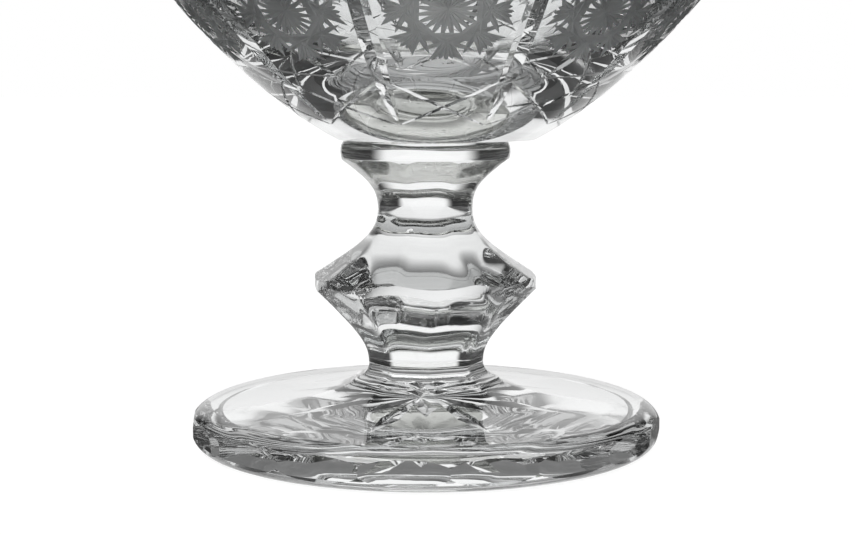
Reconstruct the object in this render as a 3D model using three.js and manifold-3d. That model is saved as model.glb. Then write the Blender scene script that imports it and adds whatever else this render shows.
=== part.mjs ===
// Footed bonbonniere in cut crystal: a round foot, a nine-sided stem and a fluted bowl, bonded one
// on another, and a lift-off lid that carries a faceted knob.
// Millimetres, +Z up. The origin lies on the axis of the bowl and lid, on the surface it stands on.
// Azimuths are in degrees from the front (-Y), positive towards +X.

import * as THREE from 'three';
import { mergeVertices } from 'three/addons/utils/BufferGeometryUtils.js';
import Module from 'manifold-3d';

const wasm = await Module();
wasm.setup();

// Bonded joints: clear films of cured adhesive, set back from the edges of the faces they join
const bondThickness = 0.3;
const bondSetback = 0.5;

// Stem: nine-sided, with a knop between two necks and a round collar under the bowl
const stemFacets = 9;
const stemPhase = 5.4;
const lowerNeckRadius = 14.5;
const lowerNeckLength = 6.2;
const lowerFlankHeight = 11.85;
const girdleRadius = 27.6;
const girdleBand = 2.5;
const upperFlankHeight = 10.15;
const upperNeckRadius = 11.9;
const upperNeckLength = 14.95;
const collarFlareHeight = 4.05;
const collarRadius = 21.1;
const collarHeight = 5;
const collarEase = 0.9;

// Foot: pressed disc that rests on a flat ring, with flats ground round its rim and a star under it.
// Its top sweeps up to the stem in nine sides, and the rim's crown meets them in a crease.
const footRadius = 58.6;
const footRimBulge = 0.2;
const footRimMiddle = 4.7;
const footHeelRise = 0.65;
const footHeelTrim = 0.55;
const footCrownTrim = 0.1;
const footCrownRise = 5.2;
const footCrownReach = 8.8;
const footCrownTop = 5.9;
const footRimUndercut = 3.5;
const footRestWidth = 3.5;
const footRecessDepth = 1.2;
const footDishMargin = 3.3;
const footDishHeight = 10;
const footDishInner = 21.6;
const footDishSag = 1.4;
const footFlareHeight = 10.1;
const footFlareDrop = 4.0;
const footFlareSpread = 3.9;
const footFlareHollow = 2.8;
const rimFlatCount = 18;
const starRayPairs = 8;
const starPhase = 24.0;
const starMargin = 15.0;
const starShortRay = 20.0;
const starRayHalfWidth = 2.4;
const starRayDepth = 1.8;
const starHubOverlap = 1.5;

// Bowl: bonded a little to the right of the stem, as on the photographed piece
const bowlOffset = 2.75;
const bowlBaseMargin = 3.3;
const bowlHeight = 66.5;
const bowlRimRadius = 82.2;
const bowlFloor = 11.8;
const bowlFloorReach = 40.0;
const bowlWall = 6.5;
const bowlRimEase = 0.8;
const bowlBaseSpread = 20.9;
const bowlBaseRise = 10.6;
const bowlRimLean = 2.0;
const bowlRimRun = 20.2;

// Upright V flutes that part the panels of the bowl and of the lid
const fluteCount = 10;
const flutePhase = 20.0;
const fluteDepth = 1.5;
const fluteHalfWidth = 2.45;
const fluteRise = 0.2;
const bowlFluteStart = 4.6;
const bowlFluteEnd = 12.0;
const lidFluteStart = 6.0;
const lidFluteEnd = 9.0;

// Lid: rests on the ground rim of the bowl and is centred by a ring that drops into its mouth
const lidEdge = 4.5;
const lidDomeHeight = 45.5;
const lidCrownThickness = 8.0;
const lidRingDepth = 6.0;
const lidRingWall = 4.5;
const lidClearance = 0.9;
const lidSeatMargin = 3.1;
const lidShoulderRise = 19.0;
const lidCrownReach = 32.0;
const lidCrownDrop = 2.5;

// Lid knob: the stem's knop again in small, with a flat top
const knobFootRadius = 10.4;
const knobNeckRadius = 8.6;
const knobNeckLength = 5.5;
const knobLowerFlank = 11.5;
const knobGirdleRadius = 17.4;
const knobGirdleBand = 2.0;
const knobUpperFlank = 17.0;
const knobTopRadius = 7.5;

// How finely the round surfaces are divided
const footSegments = 36;
const stemSegments = 36;
const bowlSegments = 40;
const bondSegments = 24;
const curveSteps = 6;
const wallSteps = 10;
const fluteSteps = 12;

// Working allowances: how close corners are welded, and how far cutters reach past what they cut
const weldDistance = 1e-4;
const cutReach = 12;

const halfTurn = 180;

// Heights at which the pieces stand on each other, and the sizes that they share
const footHeight = footDishHeight + footFlareHeight;
const stemBase = footHeight + bondThickness;
const girdleLowerEdge = lowerNeckLength + lowerFlankHeight;
const girdleUpperEdge = girdleLowerEdge + girdleBand;
const upperNeckStart = girdleUpperEdge + upperFlankHeight;
const upperNeckEnd = upperNeckStart + upperNeckLength;
const collarBase = upperNeckEnd + collarFlareHeight;
const stemHeight = collarBase + collarHeight;
const collarTop = stemBase + stemHeight;
const bowlBase = collarTop + bondThickness;
const rimTop = bowlBase + bowlHeight;
const lidTop = rimTop + lidEdge + lidDomeHeight;
const knobBase = lidTop + bondThickness;

const facetPitch = (2 * halfTurn) / stemFacets;
const facetApothem = Math.cos(THREE.MathUtils.degToRad(facetPitch / 2));
const lowerNeckFlat = lowerNeckRadius * facetApothem;
const knobFootFlat = knobFootRadius * facetApothem;
const collarFlatRadius = collarRadius - collarEase;
const bowlBaseRadius = collarRadius + bowlBaseMargin;
const bowlMouthRadius = bowlRimRadius - bowlWall;
const lidSeatRadius = knobFootRadius + lidSeatMargin;

// A closed geometry becomes a solid that can be cut
function solidOf(geometry) {
  const bare = geometry.clone();
  bare.deleteAttribute('normal');
  bare.deleteAttribute('uv');
  const merged = mergeVertices(bare, weldDistance);
  const index = merged.index.array;
  const corners = [];
  for (let i = 0; i < index.length; i += 3) {
    const [a, b, c] = index.slice(i, i + 3);
    if (a !== b && b !== c && c !== a) corners.push(a, b, c);
  }
  return new wasm.Manifold(new wasm.Mesh({
    numProp: 3,
    vertProperties: new Float32Array(merged.attributes.position.array),
    triVerts: new Uint32Array(corners),
  }));
}

// A finished solid becomes a geometry again
function geometryOf(solid) {
  const mesh = solid.getMesh();
  const geometry = new THREE.BufferGeometry();
  geometry.setAttribute('position', new THREE.BufferAttribute(mesh.vertProperties, mesh.numProp));
  geometry.setIndex(new THREE.BufferAttribute(mesh.triVerts, 1));
  geometry.computeVertexNormals();
  return geometry;
}

// Outlines are drawn in the plane of radius and height
const at = (radius, height) => new THREE.Vector2(radius, height);

function bend(from, corner, to) {
  return new THREE.QuadraticBezierCurve(from, corner, to).getPoints(curveSteps);
}

// A profile that starts and ends on the axis, turned about Z
function turned(profile, segments) {
  const apart = profile.filter((point, i) => i === 0 || point.distanceTo(profile[i - 1]) > weldDistance);
  return new THREE.LatheGeometry(apart, segments).rotateX(Math.PI / 2);
}

// The point of a rising wall curve at a given height
function pointAt(curve, height) {
  let low = 0;
  let high = 1;
  for (let halving = 0; halving < 40; halving += 1) {
    const middle = (low + high) / 2;
    if (curve.getPoint(middle).y < height) low = middle;
    else high = middle;
  }
  return { point: curve.getPoint(low), along: curve.getTangent(low) };
}

// A many-sided body turned from the outline of its edges, the first of which stands at an azimuth
function sided(outline, sides, azimuth) {
  return solidOf(turned(outline, sides).rotateZ(THREE.MathUtils.degToRad(azimuth)));
}

// The same cut, repeated evenly about the axis
function cutAround(solid, cutter, count, phase) {
  let rest = solid;
  for (let k = 0; k < count; k += 1) {
    const azimuth = phase + (k * 2 * halfTurn) / count;
    const turn = THREE.MathUtils.degToRad(azimuth - halfTurn / 2);
    rest = rest.subtract(solidOf(cutter.clone().rotateZ(turn)));
  }
  return rest;
}

// The point at a given radius on the line from one outline point through the next
function runOut(from, through, radius) {
  const slope = (through.y - from.y) / (through.x - from.x);
  return at(radius, through.y + slope * (radius - through.x));
}

function makeFoot() {
  const bulge = footRadius + footRimBulge;
  const restOuter = footRadius - footRimUndercut;
  const restInner = restOuter - footRestWidth;
  const middle = at(bulge, footRimMiddle);
  const crown = at(bulge - footCrownReach, footRimMiddle + footCrownTop);
  const blank = turned([
    at(0, footRecessDepth),
    at(restInner - footRecessDepth, footRecessDepth),
    at(restInner, 0),
    ...bend(at(restOuter, 0), at(bulge - footHeelTrim, footHeelRise), middle),
    ...bend(middle, at(bulge - footCrownTrim, footRimMiddle + footCrownRise), crown),
    at(crown.x, footHeight),
    at(0, footHeight),
  ], footSegments);
  let solid = solidOf(blank);

  const flats = [at(0, -cutReach), at(footRadius, -cutReach), at(footRadius, footHeight + cutReach),
    at(0, footHeight + cutReach)];
  solid = solid.intersect(sided(flats, rimFlatCount, stemPhase));

  const flare = at(lowerNeckRadius + footFlareSpread, footHeight - footFlareDrop);
  const dish = bend(at(footRadius - footDishMargin, footDishHeight),
    at(footDishInner, footDishHeight + footDishSag), flare);
  const neck = at(lowerNeckRadius, footHeight);
  const hollow = bend(flare, at(lowerNeckRadius, footHeight - footFlareHollow), neck);
  const reach = footRadius + cutReach;
  const sweep = [at(0, -cutReach), at(reach, -cutReach), runOut(dish[1], dish[0], reach), ...dish, ...hollow,
    at(lowerNeckRadius, footHeight + cutReach), at(0, footHeight + cutReach)];
  solid = solid.intersect(sided(sweep, stemFacets, stemPhase));

  const rayPitch = (2 * halfTurn) / starRayPairs;
  const rays = [[restInner - starMargin, starPhase], [starShortRay, starPhase + rayPitch / 2]];
  for (const [tip, phase] of rays) {
    const half = (tip + starHubOverlap) / 2;
    const ray = new THREE.OctahedronGeometry(1).scale(half, starRayHalfWidth, starRayDepth);
    ray.translate(half - starHubOverlap, 0, footRecessDepth);
    solid = cutAround(solid, ray, starRayPairs, phase);
  }
  return geometryOf(solid);
}

function makeStem() {
  const waist = at(upperNeckRadius, (upperNeckStart + upperNeckEnd) / 2);
  const reach = girdleRadius + cutReach;
  const step = collarBase - collarEase;
  const blank = turned([
    at(0, 0),
    at(girdleRadius, 0),
    at(girdleRadius, step),
    at(collarRadius, step),
    at(collarRadius, stemHeight - collarEase),
    at(collarFlatRadius, stemHeight),
    at(0, stemHeight),
  ], stemSegments);

  const flank = bend(at(lowerNeckRadius, 0), at(lowerNeckRadius, lowerNeckLength),
    at(girdleRadius, girdleLowerEdge));
  const lowerSides = [at(0, -cutReach), at(lowerNeckRadius, -cutReach), ...flank,
    runOut(...flank.slice(-2), reach), at(reach, stemHeight + reach), at(0, stemHeight + reach)];

  const hollow = [
    ...bend(at(girdleRadius / facetApothem, girdleUpperEdge), at(upperNeckRadius, upperNeckStart), waist),
    ...bend(waist, at(upperNeckRadius, upperNeckEnd), at(collarFlatRadius / facetApothem, collarBase)).slice(1),
  ];
  const upperSides = [at(0, -reach), at(reach, -reach), runOut(hollow[1], hollow[0], reach), ...hollow,
    at(reach, collarBase), at(reach, stemHeight + cutReach), at(0, stemHeight + cutReach)];

  return geometryOf(solidOf(blank)
    .intersect(sided(lowerSides, stemFacets, stemPhase))
    .intersect(sided(upperSides, stemFacets, stemPhase + facetPitch / 2)));
}

// The bowl's outer wall, from the edge of its base to its rim
const bowlOuter = new THREE.CubicBezierCurve(
  at(bowlBaseRadius, bowlBase),
  at(bowlBaseRadius + bowlBaseSpread, bowlBase + bowlBaseRise),
  at(bowlRimRadius - bowlRimLean, rimTop - bowlRimRun),
  at(bowlRimRadius, rimTop),
);

// Its inner wall, from the middle of the floor to the mouth
const bowlInner = new THREE.CubicBezierCurve(
  at(0, bowlBase + bowlFloor),
  at(bowlFloorReach, bowlBase + bowlFloor),
  at(bowlMouthRadius - bowlRimLean, rimTop - bowlRimRun),
  at(bowlMouthRadius, rimTop),
);

// A V cutter that follows a wall curve between two heights and comes out of the wall at both ends
function fluteCutter(curve, from, to) {
  const path = [];
  for (let step = 0; step <= fluteSteps; step += 1) {
    const share = step / fluteSteps;
    const { point, along } = pointAt(curve, from + (to - from) * share);
    const depth = (fluteDepth + fluteRise) * Math.sin(Math.PI * share) ** 0.5 - fluteRise;
    path.push(new THREE.Vector3(point.x - along.y * depth, 0, point.y + along.x * depth));
  }
  const lift = 2 * fluteDepth;
  const opening = (fluteHalfWidth * lift) / fluteDepth;
  const vee = new THREE.Shape([at(0, 0), at(opening, lift), at(-opening, lift)]);
  return new THREE.ExtrudeGeometry(vee, {
    steps: fluteSteps, bevelEnabled: false, extrudePath: new THREE.CatmullRomCurve3(path),
  });
}

function makeBowl() {
  const ease = rimTop - bowlRimEase;
  const blank = turned([
    at(0, bowlBase),
    ...bowlOuter.getPoints(wallSteps).slice(0, -1),
    pointAt(bowlOuter, ease).point,
    at(bowlRimRadius - bowlRimEase, rimTop),
    at(bowlMouthRadius + bowlRimEase, rimTop),
    pointAt(bowlInner, ease).point,
    ...bowlInner.getPoints(wallSteps).reverse().slice(1),
  ], bowlSegments);
  const flute = fluteCutter(bowlOuter, bowlBase + bowlFluteStart, rimTop - bowlFluteEnd);
  return geometryOf(cutAround(solidOf(blank), flute, fluteCount, flutePhase));
}

// The lid's centring ring clears the mouth of the bowl
const lidRingRadius = pointAt(bowlInner, rimTop - lidRingDepth).point.x - lidClearance;
const lidHollowRadius = lidRingRadius - lidRingWall;

// The lid's outer and inner domes, from the edge to the crown
const lidOuter = new THREE.CubicBezierCurve(
  at(bowlRimRadius, rimTop + lidEdge),
  at(bowlRimRadius, rimTop + lidEdge + lidShoulderRise),
  at(lidSeatRadius + lidCrownReach, lidTop - lidCrownDrop),
  at(lidSeatRadius, lidTop),
);

const lidInner = new THREE.CubicBezierCurve(
  at(lidHollowRadius, rimTop),
  at(lidHollowRadius, rimTop + lidShoulderRise),
  at(lidSeatRadius + lidCrownReach, lidTop - lidCrownThickness),
  at(0, lidTop - lidCrownThickness),
);

function makeLid() {
  const blank = turned([
    ...lidInner.getPoints(wallSteps).reverse(),
    at(lidHollowRadius, rimTop - lidRingDepth),
    at(lidRingRadius, rimTop - lidRingDepth),
    at(lidRingRadius, rimTop),
    at(bowlRimRadius, rimTop),
    ...lidOuter.getPoints(wallSteps),
    at(0, lidTop),
  ], bowlSegments);
  const flute = fluteCutter(lidOuter, rimTop + lidFluteStart, lidTop - lidFluteEnd);
  return geometryOf(cutAround(solidOf(blank), flute, fluteCount, flutePhase));
}

function makeKnob() {
  const lowerEdge = knobNeckLength + knobLowerFlank;
  const upperEdge = lowerEdge + knobGirdleBand;
  const height = upperEdge + knobUpperFlank;
  const reach = knobGirdleRadius + cutReach;
  const blank = turned([
    at(0, 0), at(knobGirdleRadius, 0), at(knobGirdleRadius, height), at(0, height),
  ], stemSegments);

  const flank = bend(at(knobFootRadius, 0), at(knobNeckRadius, knobNeckLength),
    at(knobGirdleRadius, lowerEdge));
  const lowerSides = [at(0, -cutReach), at(knobFootRadius, -cutReach), ...flank,
    runOut(...flank.slice(-2), reach), at(reach, height + reach), at(0, height + reach)];

  const edge = at(knobGirdleRadius / facetApothem, upperEdge);
  const crown = at(knobTopRadius, height);
  const upperSides = [at(0, -reach), at(reach, -reach), runOut(crown, edge, reach), edge, crown,
    at(crown.x, height + cutReach), at(0, height + cutReach)];

  return geometryOf(solidOf(blank)
    .intersect(sided(lowerSides, stemFacets, stemPhase))
    .intersect(sided(upperSides, stemFacets, stemPhase + facetPitch / 2)));
}

function makeBond(radius) {
  return new THREE.CylinderGeometry(radius, radius, bondThickness, bondSegments)
    .rotateX(Math.PI / 2).translate(0, 0, bondThickness / 2);
}

// Clear lead crystal
function crystal() {
  return new THREE.MeshStandardMaterial({
    color: 0xe6eaec, roughness: 0.04, metalness: 0, transparent: true, opacity: 0.45, flatShading: true,
  });
}

// Clear cured adhesive
function adhesive() {
  return new THREE.MeshStandardMaterial({
    color: 0xf2f3ef, roughness: 0.12, metalness: 0, transparent: true, opacity: 0.6,
  });
}

function piece(name, geometry, material, height) {
  const mesh = new THREE.Mesh(geometry, material);
  mesh.name = name;
  mesh.position.z = height;
  return mesh;
}

const stand = new THREE.Group();
stand.position.x = -bowlOffset;
stand.add(
  piece('foot', makeFoot(), crystal(), 0),
  piece('foot_bond', makeBond(lowerNeckFlat - bondSetback), adhesive(), footHeight),
  piece('stem', makeStem(), crystal(), stemBase),
  piece('bowl_bond', makeBond(collarFlatRadius - bondSetback), adhesive(), collarTop),
);

const bonbonniere = new THREE.Group();
bonbonniere.add(
  stand,
  piece('bowl', makeBowl(), crystal(), 0),
  piece('lid', makeLid(), crystal(), 0),
  piece('knob_bond', makeBond(knobFootFlat - bondSetback), adhesive(), lidTop),
  piece('lid_knob', makeKnob(), crystal(), knobBase),
);

export default bonbonniere;
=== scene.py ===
# Footed bonbonniere in cut crystal, shown on a plain white floor. Sizes are written in millimetres.
import math
import random

import bmesh
import bpy
from mathutils import Matrix, Vector


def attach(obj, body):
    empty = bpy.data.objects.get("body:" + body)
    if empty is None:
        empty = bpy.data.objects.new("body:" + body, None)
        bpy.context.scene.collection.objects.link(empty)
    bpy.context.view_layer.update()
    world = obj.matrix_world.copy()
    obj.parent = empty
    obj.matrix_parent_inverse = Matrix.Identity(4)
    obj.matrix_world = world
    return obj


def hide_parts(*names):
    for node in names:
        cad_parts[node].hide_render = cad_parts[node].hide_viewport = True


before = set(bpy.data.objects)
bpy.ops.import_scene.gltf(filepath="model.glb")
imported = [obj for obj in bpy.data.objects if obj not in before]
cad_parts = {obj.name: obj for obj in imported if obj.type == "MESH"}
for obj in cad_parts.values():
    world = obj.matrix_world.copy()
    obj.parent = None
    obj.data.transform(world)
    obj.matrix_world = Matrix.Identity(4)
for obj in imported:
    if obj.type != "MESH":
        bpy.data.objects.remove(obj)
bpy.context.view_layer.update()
scene = bpy.context.scene
mm = 0.001

# Camera: stands in front of the stem, level with the floor of the bowl, and looks down a little, so
# that the upper face of the foot shows and the picture ends part-way up the bowl.
camera_aside = -2.25 * mm
camera_distance = 400 * mm
camera_height = 88 * mm
camera_pitch = 6.35
camera_near = 10 * mm
picture_width = 855
focal_pixels = 1610.1
sensor_width = 36
camera_data = bpy.data.cameras.new("camera")
camera_data.sensor_fit = "HORIZONTAL"
camera_data.sensor_width = sensor_width
camera_data.lens = sensor_width * focal_pixels / picture_width
camera_data.clip_start = camera_near
camera = bpy.data.objects.new("camera", camera_data)
camera.location = (camera_aside, -camera_distance, camera_height)
camera.rotation_euler = (math.radians(90 - camera_pitch), 0, 0)
scene.collection.objects.link(camera)
scene.camera = camera

# Foot: a pressed disc of lead crystal that rests on a flat ring. Its rim is rounded and ground with
# eighteen flats, its top sweeps up to the stem in nine petals, and a star is cut into the underside.
foot_radius = 58.6
foot_bulge = 0.2
foot_middle = 4.7
heel_rise = 0.65
heel_trim = 0.55
heel_steps = 14
crown_trim = 0.1
crown_rise = 5.2
crown_reach = 8.8
crown_top = 5.9
crown_steps = 20
foot_undercut = 3.5
foot_rest_width = 3.5
foot_recess = 1.2
dish_margin = 3.3
dish_height = 10.0
dish_inner = 21.6
dish_sag = 1.4
dish_steps = 40
foot_height = 20.1
foot_steps = 240
flare_drop = 4.0
flare_spread = 3.9
flare_hollow = 2.8
flare_steps = 12
rim_flats = 18
petal_softness = 45
stem_sides = 9
stem_phase = 5.4
side_steps = 24
lower_neck_radius = 14.5
stand_axis = -2.75 * mm
weld_distance = 0.002 * mm
least_radius = 0.01 * mm
crystal_ior = 1.545


def linear(hex_colour):
    """A colour written as sRGB hex, as the linear values that a shader takes."""
    channels = [int(hex_colour[i:i + 2], 16) / 255 for i in (1, 3, 5)]
    return [c / 12.92 if c <= 0.04045 else ((c + 0.055) / 1.055) ** 2.4 for c in channels] + [1.0]


def bare(holder):
    """A new material or world, ready for its own nodes."""
    holder.use_nodes = True
    holder.node_tree.nodes.clear()
    return holder


def add_node(material, kind, settings=None, values=None, links=None):
    """A new shader node with its settings, its socket values and what feeds its sockets."""
    node = material.node_tree.nodes.new(kind)
    for name, value in (settings or {}).items():
        setattr(node, name, value)
    for name, value in (values or {}).items():
        node.inputs[name].default_value = value
    for name, source in (links or {}).items():
        material.node_tree.links.new(source, node.inputs[name])
    return node


def glass(name, colour, ior, grain_size, grain_height,
          roughness=0.0, clearness=1.0, detail=2.0, coarseness=0.45):
    """Glass with the faint waves that pressing and polishing leave, or the grain that grinding does."""
    material = bare(bpy.data.materials.new(name))
    place = add_node(material, "ShaderNodeTexCoord")
    grain = add_node(material, "ShaderNodeTexNoise",
                     values={"Scale": 1 / (grain_size * mm), "Detail": detail, "Roughness": coarseness},
                     links={"Vector": place.outputs["Object"]})
    bump = add_node(material, "ShaderNodeBump",
                    values={"Strength": 1.0, "Distance": grain_height * mm},
                    links={"Height": grain.outputs["Fac"]})
    shader = add_node(material, "ShaderNodeBsdfPrincipled",
                      values={"Base Color": linear(colour), "IOR": ior, "Roughness": roughness,
                              "Transmission Weight": clearness},
                      links={"Normal": bump.outputs["Normal"]})
    add_node(material, "ShaderNodeOutputMaterial", links={"Surface": shader.outputs["BSDF"]})
    return material


def curve(points, steps):
    """Points along a Bezier curve with three or four control points."""
    order = len(points) - 1
    found = []
    for step in range(steps + 1):
        t = step / steps
        weights = [math.comb(order, i) * (1 - t) ** (order - i) * t ** i for i in range(order + 1)]
        found.append(tuple(sum(w * p[axis] for w, p in zip(weights, points)) for axis in (0, 1)))
    return found


def run_out(start, through, radius):
    """Where the line from one outline point through the next reaches a radius."""
    slope = (through[1] - start[1]) / (through[0] - start[0])
    return (radius, through[1] + slope * (radius - through[0]))


def link_mesh(name, shape, materials=()):
    """The mesh that was built becomes an object of the scene."""
    mesh = bpy.data.meshes.new(name)
    shape.to_mesh(mesh)
    shape.free()
    for material in materials:
        mesh.materials.append(material)
    made = bpy.data.objects.new(name, mesh)
    scene.collection.objects.link(made)
    return made


def spun(name, profile, steps, azimuth=0.0, materials=()):
    """A closed body turned about Z from a profile of radius and height in millimetres.

    Few steps make a many-sided body whose edges start at the azimuth from the front.
    """
    shape = bmesh.new()
    turn = math.radians(azimuth - 90)
    corners = []
    for radius, height in profile:
        away = radius * mm
        corners.append(shape.verts.new((away * math.cos(turn), away * math.sin(turn), height * mm)))
    edges = [shape.edges.new(pair) for pair in zip(corners, corners[1:])]
    bmesh.ops.spin(shape, geom=corners + edges, axis=(0, 0, 1), cent=(0, 0, 0),
                   angle=2 * math.pi, steps=steps, use_merge=True)
    bmesh.ops.remove_doubles(shape, verts=shape.verts, dist=weld_distance)
    bmesh.ops.recalc_face_normals(shape, faces=shape.faces)
    return link_mesh(name, shape, materials)


def sided(name, profile, sides, azimuth, softness):
    """A body with straight or hollow sides and rounded edges, turned from the outline of its edges.

    softness gives, for a radius, how round the body is there: 8 is almost round, 80 has firm edges.
    """
    body = spun(name, profile, side_steps * sides, azimuth)
    half = math.pi / sides
    for corner in body.data.vertices:
        radius = math.hypot(corner.co.x, corner.co.y)
        if radius < least_radius:
            continue
        power = softness(radius / mm)
        turn = math.atan2(corner.co.y, corner.co.x) - math.radians(azimuth - 90)
        off = (turn % (2 * half)) - half
        near = math.cos(off) ** power
        beside = math.cos(2 * half - abs(off)) ** power
        share = ((near + beside) / (2 * math.cos(half) ** power)) ** (-1 / power)
        corner.co.x *= share
        corner.co.y *= share
    return body


def carve(body, tools, operation):
    """The body after each tool is taken from it, or after only what it shares with each is kept."""
    for tool in tools:
        step = body.modifiers.new("carve", "BOOLEAN")
        step.operation = operation
        step.solver = "MANIFOLD"
        step.object = tool
    bpy.context.view_layer.update()
    carved = body.evaluated_get(bpy.context.evaluated_depsgraph_get())
    result = bpy.data.meshes.new_from_object(carved)
    body.modifiers.clear()
    body.data = result
    for tool in tools:
        bpy.data.objects.remove(tool)


def finish_piece(piece, cad_node, body, edge_angle=14, axis=0.0):
    """Smooth faces and sharp edges; the piece joins its body, and the CAD node that it stands for is hidden.
    """
    mesh = piece.data
    mesh.transform(Matrix.Translation((axis, 0, 0)))
    mesh.shade_smooth()
    mesh.set_sharp_from_angle(angle=math.radians(edge_angle))
    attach(piece, body)
    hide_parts(cad_node)


pressed_crystal = glass("pressed lead crystal", "#FCFDFD", crystal_ior, grain_size=9.0, grain_height=0.010)
bulge = foot_radius + foot_bulge
rest_outer = foot_radius - foot_undercut
rest_inner = rest_outer - foot_rest_width
crown = (bulge - crown_reach, foot_middle + crown_top)
foot_profile = [(0, foot_recess), (rest_inner - foot_recess, foot_recess), (rest_inner, 0)]
foot_profile += curve([(rest_outer, 0), (bulge - heel_trim, heel_rise), (bulge, foot_middle)], heel_steps)
foot_profile += curve([(bulge, foot_middle), (bulge - crown_trim, foot_middle + crown_rise), crown],
                      crown_steps)[1:]
foot_profile += [(crown[0], foot_height), (0, foot_height)]
foot = spun("foot_glass", foot_profile, foot_steps, materials=[pressed_crystal])

over = 10
wide = 2 * foot_radius
flats_profile = [(0, -over), (foot_radius, -over), (foot_radius, foot_height + over), (0, foot_height + over)]
flats = spun("flats", flats_profile, rim_flats, stem_phase)
flare = (lower_neck_radius + flare_spread, foot_height - flare_drop)
dish = curve([(foot_radius - dish_margin, dish_height), (dish_inner, dish_height + dish_sag), flare],
             dish_steps)
neck_hollow = curve([flare, (lower_neck_radius, foot_height - flare_hollow),
                     (lower_neck_radius, foot_height)], flare_steps)
sweep_profile = [(0, -over), (wide, -over), run_out(dish[1], dish[0], wide)] + dish + neck_hollow[1:]
sweep_profile += [(lower_neck_radius, foot_height + over), (0, foot_height + over)]
sweep = sided("sweep", sweep_profile, stem_sides, stem_phase, lambda radius: petal_softness)
carve(foot, [flats, sweep], "INTERSECT")

star_pairs = 8
star_phase = 24.0
star_margin = 15.0
star_short_ray = 20.0
star_half_width = 2.4
star_depth = 1.8
star_waist = 0.62


def star_ray(tip, azimuth):
    """A pointed groove that runs out from the middle of the underside and is widest near its tip."""
    shape = bmesh.new()
    waist_place = tip * star_waist
    ends = [shape.verts.new((x * mm, 0, foot_recess * mm)) for x in (0, tip)]
    ring = []
    for side, up in ((star_half_width, 0), (0, star_depth), (-star_half_width, 0), (0, -star_depth)):
        ring.append(shape.verts.new((waist_place * mm, side * mm, (foot_recess + up) * mm)))
    for i, corner in enumerate(ring):
        for end in ends:
            shape.faces.new((corner, ring[(i + 1) % len(ring)], end))
    bmesh.ops.recalc_face_normals(shape, faces=shape.faces)
    ray = link_mesh("ray", shape, [pressed_crystal])
    ray.data.transform(Matrix.Rotation(math.radians(azimuth - 90), 4, "Z"))
    return ray


ray_pitch = 360 / star_pairs
rays = []
for k in range(star_pairs):
    rays.append(star_ray(rest_inner - star_margin, star_phase + k * ray_pitch))
    rays.append(star_ray(star_short_ray, star_phase + (k + 0.5) * ray_pitch))
carve(foot, rays, "DIFFERENCE")
finish_piece(foot, "foot", "base", axis=stand_axis)

# Foot bond: a thin film of clear cured adhesive between the foot and the stem, a little smaller than
# the faces that it joins, with a few tiny air bubbles caught in it.
bond_thickness = 0.3
bond_setback = 0.5
bond_soak = 0.08
film_steps = 72
adhesive_ior = 1.5
bubble_ior = 0.66
bubble_reach = 0.97
bubble_turn = 137.5
bubble_stray = 0.5
bubble_smallest = 0.12
bubble_largest = 0.45
bubble_half_height = 0.1
bubble_fineness = 2
clear_adhesive = glass("clear cured adhesive", "#FBFBF7", adhesive_ior, grain_size=3.0, grain_height=0.004)
trapped_air = glass("trapped air", "#FFFFFF", bubble_ior, grain_size=1.0, grain_height=0.001)
film_materials = [clear_adhesive, trapped_air]
side_cosine = math.cos(math.pi / stem_sides)


def bond_film(name, radius, low, bubbles, seed):
    """A disc of adhesive that wets both faces, with flat bubbles spread through it."""
    half = bond_thickness / 2 + bond_soak
    middle = low + bond_thickness / 2
    outline = [(0, middle - half), (radius, middle - half), (radius, middle + half), (0, middle + half)]
    disc = spun(name, outline, film_steps, materials=film_materials)
    chance = random.Random(seed)
    shape = bmesh.new()
    shape.from_mesh(disc.data)
    for count in range(bubbles):
        away = radius * math.sqrt((count + 0.5) / bubbles) * bubble_reach
        turn = count * math.radians(bubble_turn) + chance.uniform(-bubble_stray, bubble_stray)
        size = chance.uniform(bubble_smallest, bubble_largest)
        place = Matrix.Translation((away * mm * math.cos(turn), away * mm * math.sin(turn), middle * mm))
        flat = Matrix.Diagonal((1, 1, min(1, bubble_half_height / size), 1))
        made = bmesh.ops.create_icosphere(shape, subdivisions=bubble_fineness, radius=size * mm,
                                          matrix=place @ flat)
        for face in {face for corner in made["verts"] for face in corner.link_faces}:
            face.material_index = film_materials.index(trapped_air)
    shape.to_mesh(disc.data)
    shape.free()
    return disc


foot_bond_radius = lower_neck_radius * side_cosine - bond_setback
foot_bond = bond_film("foot_film", foot_bond_radius, foot_height, bubbles=14, seed=3)
finish_piece(foot_bond, "foot_bond", "base", axis=stand_axis)

# Stem: one pressed and polished piece of lead crystal with nine sides. A knop with a round girdle
# swells between two hollow-sided necks, and a round collar at the top carries the bowl.
stem_base = foot_height + bond_thickness
stem_steps = 180
lower_neck_length = 6.2
lower_flank = 11.85
girdle_radius = 27.6
girdle_band = 2.5
upper_flank = 10.15
upper_neck_radius = 11.9
upper_neck_length = 14.95
collar_flare = 4.05
collar_radius = 21.1
collar_height = 5.0
collar_ease = 0.9
collar_roll = 2.2
collar_under = 0.3
collar_shoulder = 0.5
collar_steps = 18
girdle_low = lower_neck_length + lower_flank
girdle_high = girdle_low + girdle_band
neck_start = girdle_high + upper_flank
neck_end = neck_start + upper_neck_length
collar_base = neck_end + collar_flare
stem_height = collar_base + collar_height
collar_flat = collar_radius - collar_ease
collar_middle = collar_base + collar_height / 2

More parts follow.
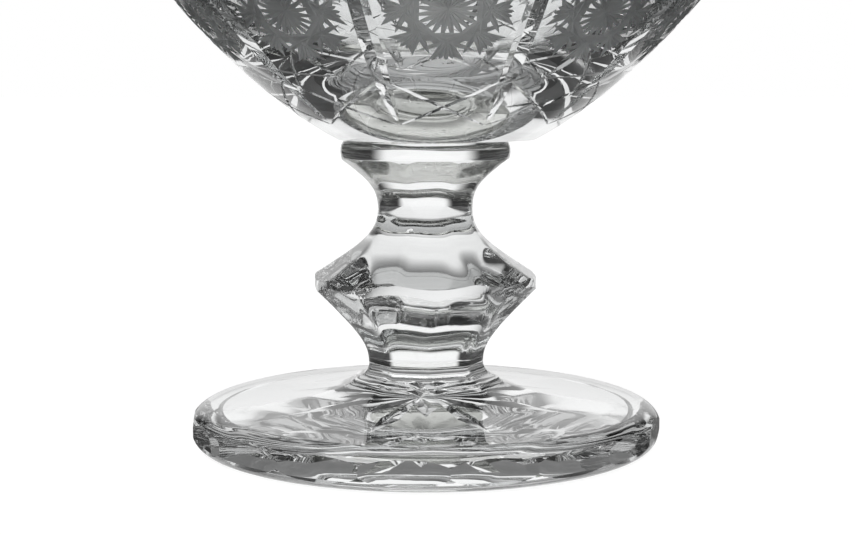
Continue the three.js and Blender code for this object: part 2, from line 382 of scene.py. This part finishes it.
blank_profile = [(0, 0), (girdle_radius, 0), (girdle_radius, collar_base - collar_roll)]
blank_profile += curve([(collar_radius - collar_roll, collar_base - collar_roll),
                        (collar_radius, collar_base - collar_under),
                        (collar_radius, collar_middle)], collar_steps)
blank_profile += curve([(collar_radius, collar_middle), (collar_radius, stem_height - collar_shoulder),
                        (collar_flat, stem_height)], collar_steps)[1:]
blank_profile += [(0, stem_height)]
stem = spun("stem_glass", blank_profile, stem_steps, materials=[pressed_crystal])

flank_bend = 3.0
flank_pull = 1.5
flank_steps = 28
flank_start = girdle_low - girdle_radius + lower_neck_radius + flank_bend
flank = curve([(lower_neck_radius, 0), (lower_neck_radius, flank_pull * flank_bend),
               (lower_neck_radius + flank_bend, flank_start), (girdle_radius, girdle_low)], flank_steps)
lower_sides = [(0, -over), (lower_neck_radius, -over)] + flank
lower_sides += [run_out(flank[-2], flank[-1], wide)]
lower_sides += [(wide, stem_height + wide), (0, stem_height + wide)]
waist = (neck_start + neck_end) / 2
neck_bend = 4.9
neck_pull = 1.4
throat_bend = 2.2
throat_pull = 2.1
throat_rise = 0.7
throat_steps = 20
bend_radius = upper_neck_radius + neck_bend
throat_radius = upper_neck_radius + throat_bend
flank_slope = 1.54
throat_slope = 1.38
throat_top = collar_base + throat_rise
knop_edge = girdle_radius / side_cosine
collar_edge = collar_flat / side_cosine
hollow = curve([(knop_edge, girdle_high),
                (bend_radius, girdle_high + (knop_edge - bend_radius) / flank_slope),
                (upper_neck_radius, waist - neck_pull * neck_bend),
                (upper_neck_radius, waist)], flank_steps)
hollow += curve([(upper_neck_radius, waist),
                 (upper_neck_radius, waist + throat_pull * throat_bend),
                 (throat_radius, throat_top - (collar_edge - throat_radius) / throat_slope),
                 (collar_edge, throat_top)], throat_steps)[1:]
shoulder = run_out(hollow[1], hollow[0], wide)
upper_sides = [(0, -wide), (wide, -wide), shoulder] + hollow
upper_sides += [(wide, throat_top), (wide, stem_height + over), (0, stem_height + over)]
half_side = 180 / stem_sides
neck_softness = 14
softness_gain = 3.2


def knop_softness(radius):
    """The necks are rounded nearly to a circle, and the sides grow firmer towards the girdle."""
    return neck_softness + softness_gain * max(0, min(radius, girdle_radius) - upper_neck_radius)


lower_shape = sided("lower sides", lower_sides, stem_sides, stem_phase, knop_softness)
upper_shape = sided("upper sides", upper_sides, stem_sides, stem_phase + half_side, knop_softness)
carve(stem, [lower_shape, upper_shape], "INTERSECT")
stem.data.transform(Matrix.Translation((0, 0, stem_base * mm)))
finish_piece(stem, "stem", "base", axis=stand_axis)

# Bowl bond: the film of clear adhesive between the collar and the base of the bowl. Its bubbles show
# as bright specks in the seam.
collar_top = stem_base + stem_height
bowl_bond = bond_film("bowl_film", collar_flat - bond_setback, collar_top, bubbles=60, seed=8)
finish_piece(bowl_bond, "bowl_bond", "base", axis=stand_axis)

# Bowl: thick lead crystal, blown and then cut. Ten upright V flutes part its wall into panels, thin
# mitre lines cross low in each panel, and a many-rayed star fills the panel above them.
polished_crystal = glass("polished cut crystal", "#FCFDFD", crystal_ior, grain_size=12.0, grain_height=0.006)
ground_crystal = glass("ground mitre cut", "#DCDEDE", crystal_ior, grain_size=0.35, grain_height=0.05,
                       roughness=0.7, clearness=0.6, detail=3.0, coarseness=0.6)
cut_materials = [polished_crystal, ground_crystal]
bowl_base = collar_top + bond_thickness
bowl_height = 66.5
bowl_rim = bowl_base + bowl_height
bowl_overhang = 3.3
bowl_base_radius = collar_radius + bowl_overhang
bowl_rim_radius = 82.18
bowl_wall = 6.5
bowl_floor_thickness = 11.8
bowl_floor = bowl_base + bowl_floor_thickness
bowl_floor_reach = 40.0
bowl_ease = 0.8
bowl_ease_steps = 6
bowl_spread = 20.9
bowl_rise = 10.6
rim_lean = 2.0
rim_run = 20.2
rim_blend = 0.2
wall_steps = 48
round_steps = 160
mouth_radius = bowl_rim_radius - bowl_wall
bowl_outer = curve([(bowl_base_radius, bowl_base),
                    (bowl_base_radius + bowl_spread, bowl_base + bowl_rise),
                    (bowl_rim_radius - rim_lean, bowl_rim - rim_run),
                    (bowl_rim_radius, bowl_rim)], wall_steps)
bowl_inner = curve([(0, bowl_floor),
                    (bowl_floor_reach, bowl_floor),
                    (mouth_radius - rim_lean, bowl_rim - rim_run),
                    (mouth_radius, bowl_rim)], wall_steps)
rim_below = bowl_rim - bowl_ease
bowl_profile = [(0, bowl_base)] + [p for p in bowl_outer if p[1] < rim_below - rim_blend]
bowl_profile += curve([(bowl_rim_radius, rim_below), (bowl_rim_radius, bowl_rim),
                       (bowl_rim_radius - bowl_ease, bowl_rim)], bowl_ease_steps)
bowl_profile += curve([(mouth_radius + bowl_ease, bowl_rim), (mouth_radius, bowl_rim),
                       (mouth_radius, rim_below)], bowl_ease_steps)
bowl_profile += [p for p in reversed(bowl_inner) if p[1] < rim_below - rim_blend]
bowl = spun("bowl_glass", bowl_profile, round_steps, materials=cut_materials)

flute_count = 10
flute_phase = 20.0
flute_depth = 1.5
flute_half_width = 2.45
flute_steps = 28
flute_fullness = 0.5
panel_pitch = 360 / flute_count
cut_rise = 0.15


def wall_point(wall, along):
    """The point and the outward normal of a wall, at a length along its outline."""
    walked = 0.0
    for first, second in zip(wall, wall[1:]):
        step = math.dist(first, second)
        if walked + step >= along or second is wall[-1]:
            share = (along - walked) / step
            point = [a + (b - a) * share for a, b in zip(first, second)]
            rising = [(b - a) / step for a, b in zip(first, second)]
            return point, (rising[1], -rising[0])
        walked += step


def wall_length(wall, height):
    """How far along a rising wall outline a height lies."""
    walked = 0.0
    for first, second in zip(wall, wall[1:]):
        if second[1] >= height:
            return walked + math.dist(first, second) * (height - first[1]) / (second[1] - first[1])
        walked += math.dist(first, second)
    return walked


def on_wall(wall, across, along, azimuth):
    """A place on the wall: across in millimetres round it from an azimuth, along from its lower edge."""
    (radius, height), (out, up) = wall_point(wall, along)
    turn = math.radians(azimuth - 90) + across / radius
    point = Vector((radius * math.cos(turn), radius * math.sin(turn), height))
    normal = Vector((out * math.cos(turn), out * math.sin(turn), up))
    return point, normal


def groove(wall, start, end, depth, half_width, steps, fullness):
    """A V cutter for one straight cut across the wall and its repeats in every panel.

    The cut comes out of the wall at both ends; a low fullness keeps it deep for more of its length.
    """
    shape = bmesh.new()
    for panel in range(flute_count):
        azimuth = flute_phase + (panel + 0.5) * panel_pitch
        places = []
        for step in range(steps + 1):
            share = step / steps
            places.append(on_wall(wall, start[0] + (end[0] - start[0]) * share,
                                  start[1] + (end[1] - start[1]) * share, azimuth))
        rows = []
        for step, (point, normal) in enumerate(places):
            ahead = places[min(step + 1, steps)][0] - places[max(step - 1, 0)][0]
            side = normal.cross(ahead).normalized()
            deep = (depth + cut_rise) * math.sin(math.pi * step / steps) ** fullness - cut_rise
            opening = half_width * (deep + depth) / depth
            corners = (point - normal * deep, point + normal * depth + side * opening,
                       point + normal * depth - side * opening)
            rows.append([shape.verts.new(corner * mm) for corner in corners])
        for row, following in zip(rows, rows[1:]):
            for i in range(3):
                shape.faces.new((row[i], row[(i + 1) % 3], following[(i + 1) % 3], following[i]))
        shape.faces.new(rows[0])
        shape.faces.new(rows[-1])
    bmesh.ops.recalc_face_normals(shape, faces=shape.faces)
    return link_mesh("groove", shape, cut_materials)


def merged(tools):
    """Cutters that do not touch each other, as one."""
    shape = bmesh.new()
    for tool in tools:
        shape.from_mesh(tool.data)
        bpy.data.objects.remove(tool)
    return link_mesh("grooves", shape, cut_materials)


def leave_ground(tools):
    """The faces that these tools cut stay grey from the wheel."""
    for tool in tools:
        for face in tool.data.polygons:
            face.material_index = cut_materials.index(ground_crystal)


def flute_tool(wall, low, high):
    """The upright V flutes, on the edges of the panels."""
    flutes = groove(wall, (0, low), (0, high), flute_depth, flute_half_width, flute_steps, flute_fullness)
    flutes.data.transform(Matrix.Rotation(math.radians(panel_pitch / 2), 4, "Z"))
    return flutes


star_points = 8
star_distance = 8.5
star_half_length = 16.0
star_cut_half = 1.45
star_cut_depth = 0.7
star_cut_steps = 8
star_cut_fullness = 0.35
hub_lines = 10
hub_reach = 9.4
hub_half_width = 0.85
net_tip = 15.5
net_lean = 53.0
net_half_width = 0.95
fan_start = 8.8
fan_twist = 0.3
fan_half_width = 0.8
fan_rays = ((-12, 15.5), (-6, 16.4), (0, 16.8), (6, 16.4), (12, 15.5))


def star_panel(wall, middle, size):
    """Cutters for one large star in every panel: hub rays, crossing lines in two sets and small fans."""
    tools = []

    def cut(radius_a, angle_a, radius_b, angle_b, half_width):
        """One line of the star, between two places given by their radius and angle from its middle."""
        ends = []
        for radius, angle in ((radius_a, angle_a), (radius_b, angle_b)):
            turn = math.radians(angle)
            ends.append((size * radius * math.sin(turn), middle - size * radius * math.cos(turn)))
        return groove(wall, ends[0], ends[1], star_cut_depth * size, half_width * size,
                      star_cut_steps, star_cut_fullness)

    for k in range(hub_lines):
        turn = 180 / hub_lines * (k + 0.5)
        tools.append(cut(hub_reach, turn, hub_reach, turn + 180, hub_half_width))
    point_pitch = 360 / star_points
    tip = math.hypot(star_distance, star_half_length)
    tip_lean = math.degrees(math.atan2(star_half_length, star_distance))
    for k in range(star_points // 2):
        for turn, reach, lean, half_width in (
                (point_pitch * k, tip, tip_lean, star_cut_half),
                (point_pitch * (k + 0.5), net_tip, net_lean, net_half_width)):
            pair = []
            for facing in (turn, turn + 180):
                pair.append(cut(reach, facing - lean, reach, facing + lean, half_width))
            tools.append(merged(pair))
    for lean, reach in fan_rays:
        fan = []
        for k in range(star_points):
            turn = point_pitch * k
            fan.append(cut(fan_start, turn - fan_twist * lean, reach, turn + lean, fan_half_width))
        tools.append(merged(fan))
    return tools


line_depth = 0.55
line_half_width = 0.5
line_steps = 20
line_fullness = 0.3


def cross_lines(wall, low, high, low_reach, high_reach):
    """Two thin mitre lines that cross low in every panel and end beside the flutes."""
    lines = []
    for side in (-1, 1):
        lines.append(groove(wall, (side * high_reach, high), (-side * low_reach, low),
                            line_depth, line_half_width, line_steps, line_fullness))
    return lines


bowl_star_height = 104.1
bowl_star_size = 0.86
bowl_line_rise = 4.0
bowl_line_top = 90.3
bowl_line_low_reach = 10.4
bowl_line_high_reach = 14.4
bowl_flute_rise = 4.6
bowl_flute_drop = 12
bowl_line_low = wall_length(bowl_outer, bowl_base + bowl_line_rise)
bowl_line_high = wall_length(bowl_outer, bowl_line_top)
bowl_flute_low = wall_length(bowl_outer, bowl_base + bowl_flute_rise)
bowl_flute_high = wall_length(bowl_outer, bowl_rim - bowl_flute_drop)
bowl_stars = star_panel(bowl_outer, wall_length(bowl_outer, bowl_star_height), bowl_star_size)
leave_ground(bowl_stars)
bowl_lines = cross_lines(bowl_outer, bowl_line_low, bowl_line_high, bowl_line_low_reach, bowl_line_high_reach)
bowl_flutes = flute_tool(bowl_outer, bowl_flute_low, bowl_flute_high)
carve(bowl, bowl_stars + bowl_lines + [bowl_flutes], "DIFFERENCE")
finish_piece(bowl, "bowl", "base")

# Lid: a thick domed cover of lead crystal that rests on the rim of the bowl. A ring under its edge
# keeps it centred. It has flutes and stars like the bowl's, and a plain crown for the knob.
lid_edge = 4.5
lid_height = 50.0
lid_gap = 0.04
lid_ease = 0.6
lid_ease_steps = 5
lid_ring_depth = 6.0
lid_ring_wall = 4.5
lid_clearance = 0.9
lid_crown = 8.0
lid_shoulder = 19.0
lid_crown_reach = 32.0
lid_crown_drop = 2.5
lid_seat_margin = 3.1
lid_star_rise = 26
lid_star_size = 0.9
knob_foot_radius = 10.4
lid_seat_radius = knob_foot_radius + lid_seat_margin
lid_top = bowl_rim + lid_height
ring_low = bowl_rim - lid_ring_depth
ring_radius = wall_point(bowl_inner, wall_length(bowl_inner, ring_low))[0][0] - lid_clearance
hollow_radius = ring_radius - lid_ring_wall
lid_outer = curve([(bowl_rim_radius, bowl_rim + lid_edge),
                   (bowl_rim_radius, bowl_rim + lid_edge + lid_shoulder),
                   (lid_seat_radius + lid_crown_reach, lid_top - lid_crown_drop),
                   (lid_seat_radius, lid_top)], wall_steps)
lid_inner = curve([(hollow_radius, bowl_rim),
                   (hollow_radius, bowl_rim + lid_shoulder),
                   (lid_seat_radius + lid_crown_reach, lid_top - lid_crown),
                   (0, lid_top - lid_crown)], wall_steps)
lid_rest = bowl_rim + lid_gap
lid_profile = lid_inner[::-1]
lid_profile += curve([(hollow_radius, ring_low + lid_ease), (hollow_radius, ring_low),
                      (hollow_radius + lid_ease, ring_low)], lid_ease_steps)
lid_profile += curve([(ring_radius - lid_ease, ring_low), (ring_radius, ring_low),
                      (ring_radius, ring_low + lid_ease)], lid_ease_steps)
lid_profile += [(ring_radius, lid_rest)]
lid_profile += curve([(bowl_rim_radius - lid_ease, lid_rest), (bowl_rim_radius, lid_rest),
                      (bowl_rim_radius, lid_rest + lid_ease)], lid_ease_steps)
lid_profile += lid_outer + [(0, lid_top)]
lid = spun("lid_glass", lid_profile, round_steps, materials=cut_materials)
lid_flute_rise = 6
lid_flute_drop = 9
lid_flute_low = wall_length(lid_outer, bowl_rim + lid_flute_rise)
lid_flute_high = wall_length(lid_outer, lid_top - lid_flute_drop)
lid_flutes = flute_tool(lid_outer, lid_flute_low, lid_flute_high)
lid_stars = star_panel(lid_outer, wall_length(lid_outer, bowl_rim + lid_star_rise), lid_star_size)
leave_ground(lid_stars)
carve(lid, lid_stars + [lid_flutes], "DIFFERENCE")
finish_piece(lid, "lid", "lid")

# Knob bond: the film of clear adhesive between the crown of the lid and the foot of the knob. It is
# made like the other two.
knob_bond_radius = knob_foot_radius * side_cosine - bond_setback
knob_bond = bond_film("knob_film", knob_bond_radius, lid_top, bubbles=16, seed=5)
finish_piece(knob_bond, "knob_bond", "lid")

# Lid knob: a pressed and polished piece of lead crystal that repeats the stem's knop in small, with
# flat upper sides that run up to a nine-sided top.
knob_base = lid_top + bond_thickness
knob_steps = 144
knob_neck_radius = 8.6
knob_neck_length = 5.5
knob_lower_flank = 11.5
knob_flank_steps = 20
knob_lower_softness = 50
knob_girdle_radius = 17.4
knob_girdle_band = 2.0
knob_upper_flank = 17.0
knob_upper_softness = 80
knob_top_radius = 7.5
knob_low = knob_neck_length + knob_lower_flank
knob_high = knob_low + knob_girdle_band
knob_height = knob_high + knob_upper_flank
knob_blank = [(0, 0), (knob_girdle_radius, 0), (knob_girdle_radius, knob_height), (0, knob_height)]
lid_knob = spun("knob_glass", knob_blank, knob_steps, materials=[pressed_crystal])
knob_flank = curve([(knob_foot_radius, 0), (knob_neck_radius, knob_neck_length),
                    (knob_girdle_radius, knob_low)], knob_flank_steps)
knob_lower = [(0, -over), (knob_foot_radius, -over)] + knob_flank
knob_lower += [run_out(knob_flank[-2], knob_flank[-1], wide)]
knob_lower += [(wide, knob_height + wide), (0, knob_height + wide)]
knob_edge = (knob_girdle_radius / side_cosine, knob_high)
knob_crown = (knob_top_radius, knob_height)
knob_upper = [(0, -wide), (wide, -wide), run_out(knob_crown, knob_edge, wide), knob_edge, knob_crown]
knob_upper += [(knob_top_radius, knob_height + over), (0, knob_height + over)]
knob_lower_shape = sided("lower sides", knob_lower, stem_sides, stem_phase,
                         lambda radius: knob_lower_softness)
knob_upper_shape = sided("upper sides", knob_upper, stem_sides, stem_phase + half_side,
                         lambda radius: knob_upper_softness)
carve(lid_knob, [knob_lower_shape, knob_upper_shape], "INTERSECT")
lid_knob.data.transform(Matrix.Translation((0, 0, knob_base * mm)))
finish_piece(lid_knob, "lid_knob", "lid")

# Floor: a plain white table that keeps the object's shadow. What the glass sees of it is painted light and
# shade: a sheet in painted shade near the object and brighter away from it, a table painted dim beside it,
# and a painted pool of light round the foot with painted shadow under its middle.
floor_size = 30
floor_drop = 0.1
sheet_half_width = 100
sheet_fade = 40
sheet_spread = 0.4
sheet_near = 68
# The sheet for the glass is painted in shade near the object and painted brighter far from it.
sheet_far = 135
sheet_near_light = 0.16
sheet_far_light = 0.85
# The table beside the sheet is painted dim for the glass.
table_light = 0.03
# Painted pool of light round the foot for the glass: painted shadow in its middle, brighter in front than
# behind.
pool_shade_radius = 23
pool_shade_end_radius = 27
pool_shade_share = 0.02
pool_edge = 58
pool_end = 62
pool_front_light = 1.0
pool_back_light = 0.45
seen_glow = 0.93
seen_paint = "#707070"
# Painted shade: to the glass and to bounced light the floor's colour is near black, to the camera it is grey.
painted_shade_for_glass = "#101010"
table_roughness = 0.8
white = linear("#FFFFFF")


def ramp(material, value, start, end, low, high, interpolation="SMOOTHSTEP"):
    """A value from low to high while another runs from start to end, and level beyond."""
    node = add_node(material, "ShaderNodeMapRange", {"interpolation_type": interpolation},
                    values={"From Min": start, "From Max": end, "To Min": low, "To Max": high},
                    links={"Value": value})
    return node.outputs["Result"]


def combine(material, operation, first, second):
    """Two values worked into one; either may be a plain number."""
    values = {}
    links = {}
    for place, item in enumerate((first, second)):
        if isinstance(item, (int, float)):
            values[place] = item
        else:
            links[place] = item
    return add_node(material, "ShaderNodeMath", {"operation": operation}, values, links).outputs[0]


def ray_kinds(material):
    """Whether a ray comes straight from the camera, and whether it comes off or through glass."""
    kinds = add_node(material, "ShaderNodeLightPath").outputs
    from_glass = combine(material, "MAXIMUM", kinds["Is Glossy Ray"], kinds["Is Transmission Ray"])
    return kinds["Is Camera Ray"], from_glass


floor_shape = bmesh.new()
bmesh.ops.create_grid(floor_shape, x_segments=1, y_segments=1, size=floor_size / 2)
floor = link_mesh("floor", floor_shape)
floor.location.z = -floor_drop * mm
table = bare(bpy.data.materials.new("white table"))
table_seen, table_from_glass = ray_kinds(table)
table_place = add_node(table, "ShaderNodeTexCoord").outputs["Object"]
table_parts = add_node(table, "ShaderNodeSeparateXYZ", links={0: table_place})
across = combine(table, "ABSOLUTE", table_parts.outputs["X"], 0)
along = combine(table, "ABSOLUTE", table_parts.outputs["Y"], 0)
widening = combine(table, "MULTIPLY", along, sheet_spread)
sheet_offset = combine(table, "SUBTRACT", across, widening)
sheet_inside = (sheet_half_width - sheet_fade) * mm
sheet_outside = (sheet_half_width + sheet_fade) * mm
sheet_side = ramp(table, sheet_offset, sheet_inside, sheet_outside, 1, 0)
# Painted shade on the sheet near the object, painted light far from it.
painted_sheet_shade = ramp(table, along, sheet_near * mm, sheet_far * mm, sheet_near_light, sheet_far_light)
sheet_glow = combine(table, "MULTIPLY", sheet_side, painted_sheet_shade)
round_about = combine(table, "MAXIMUM", sheet_glow, table_light)
from_stem = add_node(table, "ShaderNodeVectorMath", {"operation": "DISTANCE"},
                     values={1: (stand_axis, 0, 0)}, links={0: table_place}).outputs["Value"]
# Painted shadow under the middle of the foot, and the pool of light painted brighter in front than behind.
painted_shade_under_foot = ramp(table, from_stem, pool_shade_radius * mm, pool_shade_end_radius * mm, pool_shade_share, 1)
pool_front_to_back = ramp(table, table_parts.outputs["Y"], -pool_edge * mm, pool_edge * mm,
                    pool_front_light, pool_back_light, "LINEAR")
painted_pool_glow = combine(table, "MULTIPLY", painted_shade_under_foot, pool_front_to_back)
pool_share = ramp(table, from_stem, pool_edge * mm, pool_end * mm, 1, 0)
floor_glow = add_node(table, "ShaderNodeMix", {"data_type": "FLOAT"},
                      links={"Factor": pool_share, "A": round_about, "B": painted_pool_glow}).outputs["Result"]
# The painted light and shade of the floor are shown only to glossy and transmission rays.
glass_glow = combine(table, "MULTIPLY", floor_glow, table_from_glass)
glow = add_node(table, "ShaderNodeMix", {"data_type": "FLOAT"}, values={"B": seen_glow},
                links={"Factor": table_seen, "A": glass_glow}).outputs["Result"]
# The camera sees the floor's grey paint, and all other rays see it painted near black as shade.
paint_and_glass_shade = add_node(table, "ShaderNodeMix", {"data_type": "RGBA"},
                values={"A": linear(painted_shade_for_glass), "B": linear(seen_paint)}, links={"Factor": table_seen})
paint = add_node(table, "ShaderNodeBsdfPrincipled",
                 values={"Roughness": table_roughness, "Emission Color": white},
                 links={"Emission Strength": glow, "Base Color": paint_and_glass_shade.outputs["Result"]})
add_node(table, "ShaderNodeOutputMaterial", links={"Surface": paint.outputs["BSDF"]})
floor.data.materials.append(table)

# Light: a white backdrop behind the object that fades upward and to the sides, a lower and dimmer one
# on the camera's side, a dark room above, and two soft lamps. The camera itself sees plain white.
backdrop_full_rise = 0.45
backdrop_end_rise = 0.85
backdrop_narrow = 0.3
backdrop_wide = 0.5
backdrop_turn = 0.5
backdrop_light = 1.0
beside_light = 0.03
front_share = 0.6
front_lowering = 0.4
room_light = 0.02
most_bounces = 32
glossy_bounces = 16
world = bare(bpy.data.worlds.new("surroundings"))
scene.world = world
direction = add_node(world, "ShaderNodeTexCoord").outputs["Generated"]
heading = add_node(world, "ShaderNodeSeparateXYZ", links={0: direction})
in_front = combine(world, "MINIMUM", heading.outputs["Y"], 0)
lowering = combine(world, "MULTIPLY", in_front, -front_lowering)
rise = combine(world, "ADD", heading.outputs["Z"], lowering)
rise_share = ramp(world, rise, backdrop_full_rise, backdrop_end_rise, 1, 0)
aside = combine(world, "ABSOLUTE", heading.outputs["X"], 0)
side_share = ramp(world, aside, backdrop_narrow, backdrop_wide, backdrop_light, beside_light)
back_share = ramp(world, heading.outputs["Y"], -backdrop_turn, backdrop_turn, front_share, 1, "LINEAR")
backdrop = combine(world, "MULTIPLY", combine(world, "MULTIPLY", rise_share, side_share), back_share)
world_seen, world_from_glass = ray_kinds(world)
room = combine(world, "MAXIMUM", combine(world, "MULTIPLY", backdrop, world_from_glass), room_light)
sky = add_node(world, "ShaderNodeBackground", values={"Color": white},
               links={"Strength": combine(world, "MAXIMUM", room, world_seen)})
add_node(world, "ShaderNodeOutputWorld", links={"Surface": sky.outputs["Background"]})


def soft_lamp(name, azimuth, elevation, spread, strength):
    """Even light from a wide soft source, as from a large lamp behind a diffusing screen."""
    data = bpy.data.lights.new(name, "SUN")
    data.angle = math.radians(spread)
    data.energy = strength
    lamp = bpy.data.objects.new(name, data)
    lamp.rotation_euler = (math.radians(90 - elevation), 0, math.radians(azimuth))
    lamp.visible_transmission = False
    scene.collection.objects.link(lamp)


soft_lamp("lamp left", azimuth=-50, elevation=55, spread=30, strength=1.6)
soft_lamp("lamp right", azimuth=60, elevation=60, spread=30, strength=1.2)
scene.view_settings.view_transform = "Standard"
scene.cycles.max_bounces = most_bounces
scene.cycles.transmission_bounces = most_bounces
scene.cycles.glossy_bounces = glossy_bounces
